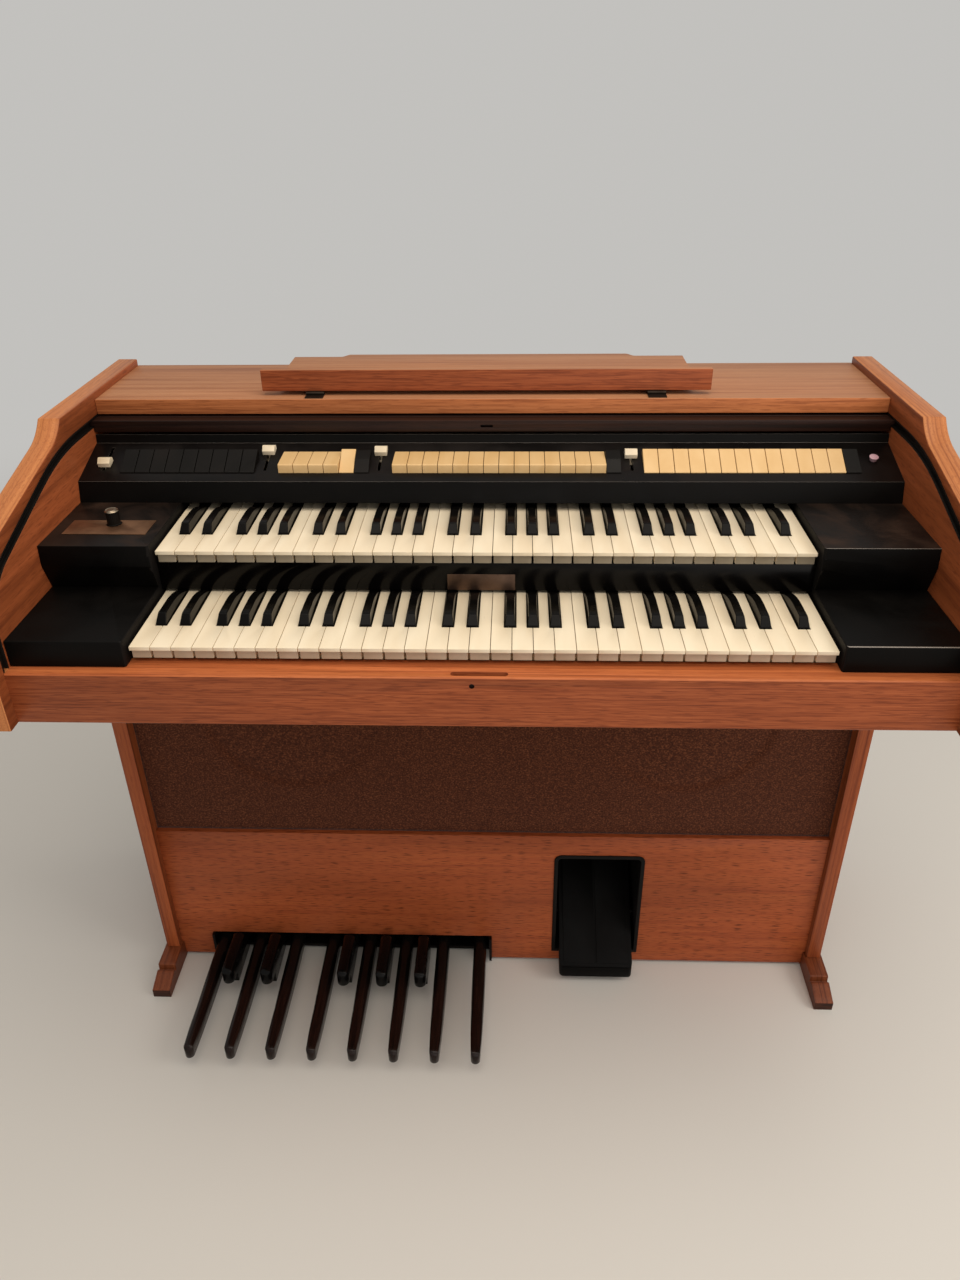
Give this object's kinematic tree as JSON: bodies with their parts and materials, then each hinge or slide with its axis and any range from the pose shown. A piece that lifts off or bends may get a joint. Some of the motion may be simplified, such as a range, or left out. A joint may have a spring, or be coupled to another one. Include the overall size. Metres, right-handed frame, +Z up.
{
  "type": "home electronic organ console",
  "caption": "Two-manual home organ console with roll top, folding music desk, stop tabs, sliders, swell shoe and short pedalboard.",
  "frame": {"origin": "centre of the console's outline at floor level", "axes": "+X to the player's right, +Y from the player to the back, +Z up"},
  "size_m": [1.107, 0.594, 0.976],
  "materials": {
    "veneer": "satin",
    "lid_veneer": "satin",
    "chipboard": "matte",
    "hardboard": "matte",
    "dark_slats": "satin",
    "black_board": "satin",
    "black_metal": "satin",
    "black_plastic": "satin",
    "speaker_cloth": "woven",
    "ivory_keys": "gloss",
    "black_keys": "gloss",
    "cream_tabs": "satin",
    "slider_caps": "satin",
    "lamp_lens": "gloss",
    "bronze_plate": "brushed",
    "bright_plate": "brushed",
    "hinge_steel": "satin",
    "shoe_rubber": "ribbed",
    "pedal_wood": "satin",
    "pedal_black": "gloss"
  },
  "bodies": {
    "console": {"left_cheek": "veneer", "right_cheek": "veneer", "left_leg": "veneer", "right_leg": "veneer", "left_foot": "veneer", "right_foot": "veneer", "keyslip": "veneer", "kickboard": "veneer", "lid": "lid_veneer", "left_track": "black_plastic", "right_track": "black_plastic", "key_bed": "chipboard", "speaker_board": "chipboard", "lower_key_frame": "chipboard", "upper_key_frame": "black_board", "upper_back": "hardboard", "lower_back": "hardboard", "roll_top": "dark_slats", "speaker_cloth": "speaker_cloth", "lower_left_block": "black_board", "lower_right_block": "black_board", "upper_left_block": "black_board", "upper_right_block": "black_board", "nameboard": "black_board", "control_panel": "black_metal", "lower_naturals": "ivory_keys", "upper_naturals": "ivory_keys", "lower_sharps": "black_keys", "upper_sharps": "black_keys", "cream_tabs": "cream_tabs", "black_tabs": "black_plastic", "pilot_lamp": "lamp_lens", "knob_plate": "bronze_plate", "nameplate": "bright_plate", "desk_hinges": "hinge_steel", "swell_box": "black_board", "pedal_frame": "black_metal", "pedal_rod": "hinge_steel"},
    "slider_1": {"slider_1": "slider_caps"},
    "slider_2": {"slider_2": "slider_caps"},
    "slider_3": {"slider_3": "slider_caps"},
    "slider_4": {"slider_4": "slider_caps"},
    "volume_knob": {"volume_knob": "black_plastic"},
    "music_desk": {"desk_panel": "lid_veneer", "desk_ledge": "veneer", "desk_leaves": "hinge_steel"},
    "swell_shoe": {"swell_shoe": "shoe_rubber"},
    "pedal_c": {"pedal_c": "pedal_wood"},
    "pedal_d": {"pedal_d": "pedal_wood"},
    "pedal_e": {"pedal_e": "pedal_wood"},
    "pedal_f": {"pedal_f": "pedal_wood"},
    "pedal_g": {"pedal_g": "pedal_wood"},
    "pedal_a": {"pedal_a": "pedal_wood"},
    "pedal_b": {"pedal_b": "pedal_wood"},
    "pedal_top_c": {"pedal_top_c": "pedal_wood"},
    "pedal_c_sharp": {"pedal_c_sharp": "pedal_black"},
    "pedal_d_sharp": {"pedal_d_sharp": "pedal_black"},
    "pedal_f_sharp": {"pedal_f_sharp": "pedal_black"},
    "pedal_g_sharp": {"pedal_g_sharp": "pedal_black"},
    "pedal_a_sharp": {"pedal_a_sharp": "pedal_black"}
  },
  "joints": [
    {"name": "slider_1_slide", "type": "slide", "parent": "console", "child": "slider_1", "axis": [0, 0.9558, 0.2941], "range_m": [-0.0085, 0.0315]},
    {"name": "slider_2_slide", "type": "slide", "parent": "console", "child": "slider_2", "axis": [0, 0.9558, 0.2941], "range_m": [-0.0345, 0.0055]},
    {"name": "slider_3_slide", "type": "slide", "parent": "console", "child": "slider_3", "axis": [0, 0.9558, 0.2941], "range_m": [-0.0325, 0.0075]},
    {"name": "slider_4_slide", "type": "slide", "parent": "console", "child": "slider_4", "axis": [0, 0.9558, 0.2941], "range_m": [-0.0265, 0.0135]},
    {"name": "volume_turn", "type": "hinge", "parent": "console", "child": "volume_knob", "pos_m": [-0.45255, -0.0785, 0.85], "axis": [0, 0, 1], "range_deg": [-150, 150]},
    {"name": "desk_fold", "type": "hinge", "parent": "console", "child": "music_desk", "pos_m": [-0.003, 0.113, 0.945], "axis": [1, 0, 0], "range_deg": [0, 75]},
    {"name": "swell_tilt", "type": "hinge", "parent": "console", "child": "swell_shoe", "pos_m": [0.1755, 0.035, 0.078], "axis": [1, 0, 0], "range_deg": [-20, 0]},
    {"name": "pedal_c_press", "type": "hinge", "parent": "console", "child": "pedal_c", "pos_m": [-0.4505, 0.239, 0.0395], "axis": [1, 0, 0], "range_deg": [0, 1.8], "stiffness_Nm_per_rad": 25, "springref_deg": -11.46},
    {"name": "pedal_d_press", "type": "hinge", "parent": "console", "child": "pedal_d", "pos_m": [-0.3885, 0.239, 0.0395], "axis": [1, 0, 0], "range_deg": [0, 1.8], "stiffness_Nm_per_rad": 25, "springref_deg": -11.46},
    {"name": "pedal_e_press", "type": "hinge", "parent": "console", "child": "pedal_e", "pos_m": [-0.3265, 0.239, 0.0395], "axis": [1, 0, 0], "range_deg": [0, 1.8], "stiffness_Nm_per_rad": 25, "springref_deg": -11.46},
    {"name": "pedal_f_press", "type": "hinge", "parent": "console", "child": "pedal_f", "pos_m": [-0.2645, 0.239, 0.0395], "axis": [1, 0, 0], "range_deg": [0, 1.8], "stiffness_Nm_per_rad": 25, "springref_deg": -11.46},
    {"name": "pedal_g_press", "type": "hinge", "parent": "console", "child": "pedal_g", "pos_m": [-0.2025, 0.239, 0.0395], "axis": [1, 0, 0], "range_deg": [0, 1.8], "stiffness_Nm_per_rad": 25, "springref_deg": -11.46},
    {"name": "pedal_a_press", "type": "hinge", "parent": "console", "child": "pedal_a", "pos_m": [-0.1405, 0.239, 0.0395], "axis": [1, 0, 0], "range_deg": [0, 1.8], "stiffness_Nm_per_rad": 25, "springref_deg": -11.46},
    {"name": "pedal_b_press", "type": "hinge", "parent": "console", "child": "pedal_b", "pos_m": [-0.0785, 0.239, 0.0395], "axis": [1, 0, 0], "range_deg": [0, 1.8], "stiffness_Nm_per_rad": 25, "springref_deg": -11.46},
    {"name": "pedal_top_c_press", "type": "hinge", "parent": "console", "child": "pedal_top_c", "pos_m": [-0.0165, 0.239, 0.0395], "axis": [1, 0, 0], "range_deg": [0, 1.8], "stiffness_Nm_per_rad": 25, "springref_deg": -11.46},
    {"name": "pedal_c_sharp_press", "type": "hinge", "parent": "console", "child": "pedal_c_sharp", "pos_m": [-0.4195, 0.239, 0.0395], "axis": [1, 0, 0], "range_deg": [0, 1.8], "stiffness_Nm_per_rad": 25, "springref_deg": -11.46},
    {"name": "pedal_d_sharp_press", "type": "hinge", "parent": "console", "child": "pedal_d_sharp", "pos_m": [-0.3575, 0.239, 0.0395], "axis": [1, 0, 0], "range_deg": [0, 1.8], "stiffness_Nm_per_rad": 25, "springref_deg": -11.46},
    {"name": "pedal_f_sharp_press", "type": "hinge", "parent": "console", "child": "pedal_f_sharp", "pos_m": [-0.2335, 0.239, 0.0395], "axis": [1, 0, 0], "range_deg": [0, 1.8], "stiffness_Nm_per_rad": 25, "springref_deg": -11.46},
    {"name": "pedal_g_sharp_press", "type": "hinge", "parent": "console", "child": "pedal_g_sharp", "pos_m": [-0.1715, 0.239, 0.0395], "axis": [1, 0, 0], "range_deg": [0, 1.8], "stiffness_Nm_per_rad": 25, "springref_deg": -11.46},
    {"name": "pedal_a_sharp_press", "type": "hinge", "parent": "console", "child": "pedal_a_sharp", "pos_m": [-0.1095, 0.239, 0.0395], "axis": [1, 0, 0], "range_deg": [0, 1.8], "stiffness_Nm_per_rad": 25, "springref_deg": -11.46}
  ]
}
